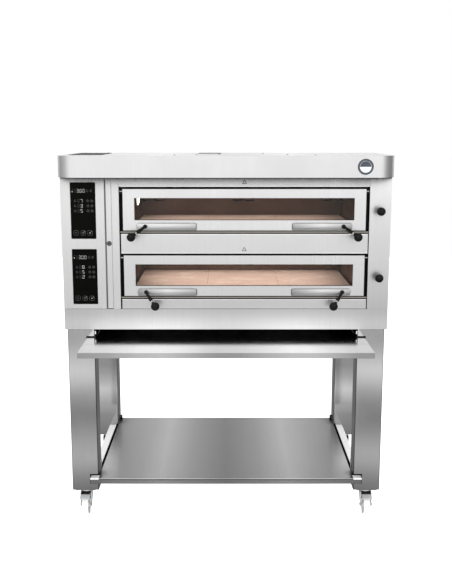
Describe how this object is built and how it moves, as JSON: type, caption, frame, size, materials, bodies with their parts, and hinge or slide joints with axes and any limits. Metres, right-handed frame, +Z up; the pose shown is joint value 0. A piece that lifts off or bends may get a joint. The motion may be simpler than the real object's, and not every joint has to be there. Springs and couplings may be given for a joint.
{
  "type": "two-deck pizza oven on wheeled stand",
  "caption": "Floor-standing electric deck pizza oven with canopy, glazed lift-up doors, pull-out control drawer, and a castor stand with storage shelf and sliding work shelf.",
  "frame": {"origin": "centre of the bounding box's footprint, on the floor", "axes": "+X right as seen from the front, +Y to the back, +Z up; the front faces -Y"},
  "size_m": [1.58, 1.26, 1.801],
  "materials": {
    "satin_steel": "satin stainless sheet, fine vertical brushing",
    "polished_steel": "polished stainless plate",
    "stand_steel": "stainless stand, smoother and more reflective than the casing",
    "shelf_steel": "bright stainless shelves with soft reflections",
    "chamber_steel": "heat-browned steel lining",
    "element_steel": "dark sheathed heating rods",
    "hearth_stone": "pale speckled refractory stone",
    "lamp_glass": "lit white lamp lens",
    "door_glass": "clear heat-resisting glass",
    "control_glass": "black gloss touch glass",
    "black_plastic": "satin black phenolic balls and sleeves",
    "zinc_steel": "zinc-plated steel",
    "pedal_plastic": "light grey brake pedals",
    "white_wheel": "white nylon wheels"
  },
  "bodies": {
    "oven_body": {"canopy": "satin_steel", "top_cover": "satin_steel", "side_panel_left": "satin_steel", "side_panel_right": "satin_steel", "rear_panel": "satin_steel", "base_plinth": "satin_steel", "right_column": "satin_steel", "left_post": "satin_steel", "middle_panel": "satin_steel", "lower_panel": "satin_steel", "upper_chamber_liner": "chamber_steel", "upper_hearth_stone_left": "hearth_stone", "upper_hearth_stone_centre": "hearth_stone", "upper_hearth_stone_right": "hearth_stone", "upper_heating_elements": "element_steel", "upper_chamber_lamp": "lamp_glass", "lower_chamber_liner": "chamber_steel", "lower_hearth_stone_left": "hearth_stone", "lower_hearth_stone_centre": "hearth_stone", "lower_hearth_stone_right": "hearth_stone", "lower_heating_elements": "element_steel", "lower_chamber_lamp": "lamp_glass", "leg_front_left": "stand_steel", "leg_front_right": "stand_steel", "leg_rear_left": "stand_steel", "leg_rear_right": "stand_steel", "side_rail_left": "stand_steel", "side_rail_right": "stand_steel", "lower_shelf": "shelf_steel", "runner_frame": "stand_steel"},
    "upper_door": {"upper_door_frame": "satin_steel", "upper_door_glass": "door_glass", "upper_door_plate_left": "polished_steel", "upper_door_plate_right": "polished_steel"},
    "upper_lever_left": {"upper_door_lever_left": "black_plastic"},
    "upper_lever_right": {"upper_door_lever_right": "black_plastic"},
    "lower_door": {"lower_door_frame": "satin_steel", "lower_door_glass": "door_glass", "lower_door_plate_left": "polished_steel", "lower_door_plate_right": "polished_steel"},
    "lower_lever_left": {"lower_door_lever_left": "black_plastic"},
    "lower_lever_right": {"lower_door_lever_right": "black_plastic"},
    "service_drawer": {"drawer_front": "satin_steel", "drawer_chassis": "zinc_steel", "upper_control_glass": "control_glass", "lower_control_glass": "control_glass"},
    "drawer_lock": {"drawer_lock": "zinc_steel"},
    "upper_damper": {"upper_damper_pull": "black_plastic"},
    "lower_damper": {"lower_damper_pull": "black_plastic"},
    "work_shelf": {"work_shelf": "shelf_steel"},
    "castor_front_left": {"castor_fork_front_left": "zinc_steel"},
    "wheel_front_left": {"castor_wheel_front_left": "white_wheel"},
    "brake_left": {"brake_pedal_left": "pedal_plastic"},
    "castor_front_right": {"castor_fork_front_right": "zinc_steel"},
    "wheel_front_right": {"castor_wheel_front_right": "white_wheel"},
    "brake_right": {"brake_pedal_right": "pedal_plastic"},
    "castor_rear_left": {"castor_fork_rear_left": "zinc_steel"},
    "wheel_rear_left": {"castor_wheel_rear_left": "white_wheel"},
    "castor_rear_right": {"castor_fork_rear_right": "zinc_steel"},
    "wheel_rear_right": {"castor_wheel_rear_right": "white_wheel"}
  },
  "joints": [
    {"name": "upper_door_hinge", "type": "hinge", "parent": "oven_body", "child": "upper_door", "pos_m": [0.0875, -0.308, 1.6315], "axis": [-1, 0, 0], "range_deg": [0, 90]},
    {"name": "upper_lever_left_swivel", "type": "hinge", "parent": "upper_door", "child": "upper_lever_left", "pos_m": [-0.3855, -0.32, 1.4665], "axis": [0, -1, 0], "range_deg": [0, 94]},
    {"name": "upper_lever_right_swivel", "type": "hinge", "parent": "upper_door", "child": "upper_lever_right", "pos_m": [0.5605, -0.32, 1.4665], "axis": [0, 1, 0], "range_deg": [0, 94]},
    {"name": "lower_door_hinge", "type": "hinge", "parent": "oven_body", "child": "lower_door", "pos_m": [0.0875, -0.308, 1.314], "axis": [-1, 0, 0], "range_deg": [0, 90]},
    {"name": "lower_lever_left_swivel", "type": "hinge", "parent": "lower_door", "child": "lower_lever_left", "pos_m": [-0.3855, -0.32, 1.149], "axis": [0, 1, 0], "range_deg": [0, 94]},
    {"name": "lower_lever_right_swivel", "type": "hinge", "parent": "lower_door", "child": "lower_lever_right", "pos_m": [0.5605, -0.32, 1.149], "axis": [0, -1, 0], "range_deg": [0, 94]},
    {"name": "service_drawer_slide", "type": "slide", "parent": "oven_body", "child": "service_drawer", "axis": [0, -1, 0], "range_m": [0, 0.4]},
    {"name": "drawer_lock_turn", "type": "hinge", "parent": "oven_body", "child": "drawer_lock", "pos_m": [-0.559, -0.32, 1.384], "axis": [0, 1, 0], "range_deg": [0, 90]},
    {"name": "upper_damper_slide", "type": "slide", "parent": "oven_body", "child": "upper_damper", "axis": [0, -1, 0], "range_m": [0, 0.06]},
    {"name": "lower_damper_slide", "type": "slide", "parent": "oven_body", "child": "lower_damper", "axis": [0, -1, 0], "range_m": [0, 0.06]},
    {"name": "work_shelf_slide", "type": "slide", "parent": "oven_body", "child": "work_shelf", "axis": [0, -1, 0], "range_m": [-0.31, 0.12]},
    {"name": "castor_front_left_swivel", "type": "hinge", "parent": "oven_body", "child": "castor_front_left", "pos_m": [-0.71, -0.262, 0.118], "axis": [0, 0, 1], "continuous": true},
    {"name": "wheel_front_left_spin", "type": "hinge", "parent": "castor_front_left", "child": "wheel_front_left", "pos_m": [-0.71, -0.3, 0.05], "axis": [1, 0, 0], "continuous": true},
    {"name": "brake_left_press", "type": "hinge", "parent": "castor_front_left", "child": "brake_left", "pos_m": [-0.71, -0.3, 0.1045], "axis": [1, 0, 0], "range_deg": [0, 12]},
    {"name": "castor_front_right_swivel", "type": "hinge", "parent": "oven_body", "child": "castor_front_right", "pos_m": [0.71, -0.262, 0.118], "axis": [0, 0, 1], "continuous": true},
    {"name": "wheel_front_right_spin", "type": "hinge", "parent": "castor_front_right", "child": "wheel_front_right", "pos_m": [0.71, -0.3, 0.05], "axis": [1, 0, 0], "continuous": true},
    {"name": "brake_right_press", "type": "hinge", "parent": "castor_front_right", "child": "brake_right", "pos_m": [0.71, -0.3, 0.1045], "axis": [1, 0, 0], "range_deg": [0, 12]},
    {"name": "castor_rear_left_swivel", "type": "hinge", "parent": "oven_body", "child": "castor_rear_left", "pos_m": [-0.71, 0.564, 0.118], "axis": [0, 0, 1], "continuous": true},
    {"name": "wheel_rear_left_spin", "type": "hinge", "parent": "castor_rear_left", "child": "wheel_rear_left", "pos_m": [-0.71, 0.526, 0.05], "axis": [1, 0, 0], "continuous": true},
    {"name": "castor_rear_right_swivel", "type": "hinge", "parent": "oven_body", "child": "castor_rear_right", "pos_m": [0.71, 0.564, 0.118], "axis": [0, 0, 1], "continuous": true},
    {"name": "wheel_rear_right_spin", "type": "hinge", "parent": "castor_rear_right", "child": "wheel_rear_right", "pos_m": [0.71, 0.526, 0.05], "axis": [1, 0, 0], "continuous": true}
  ]
}
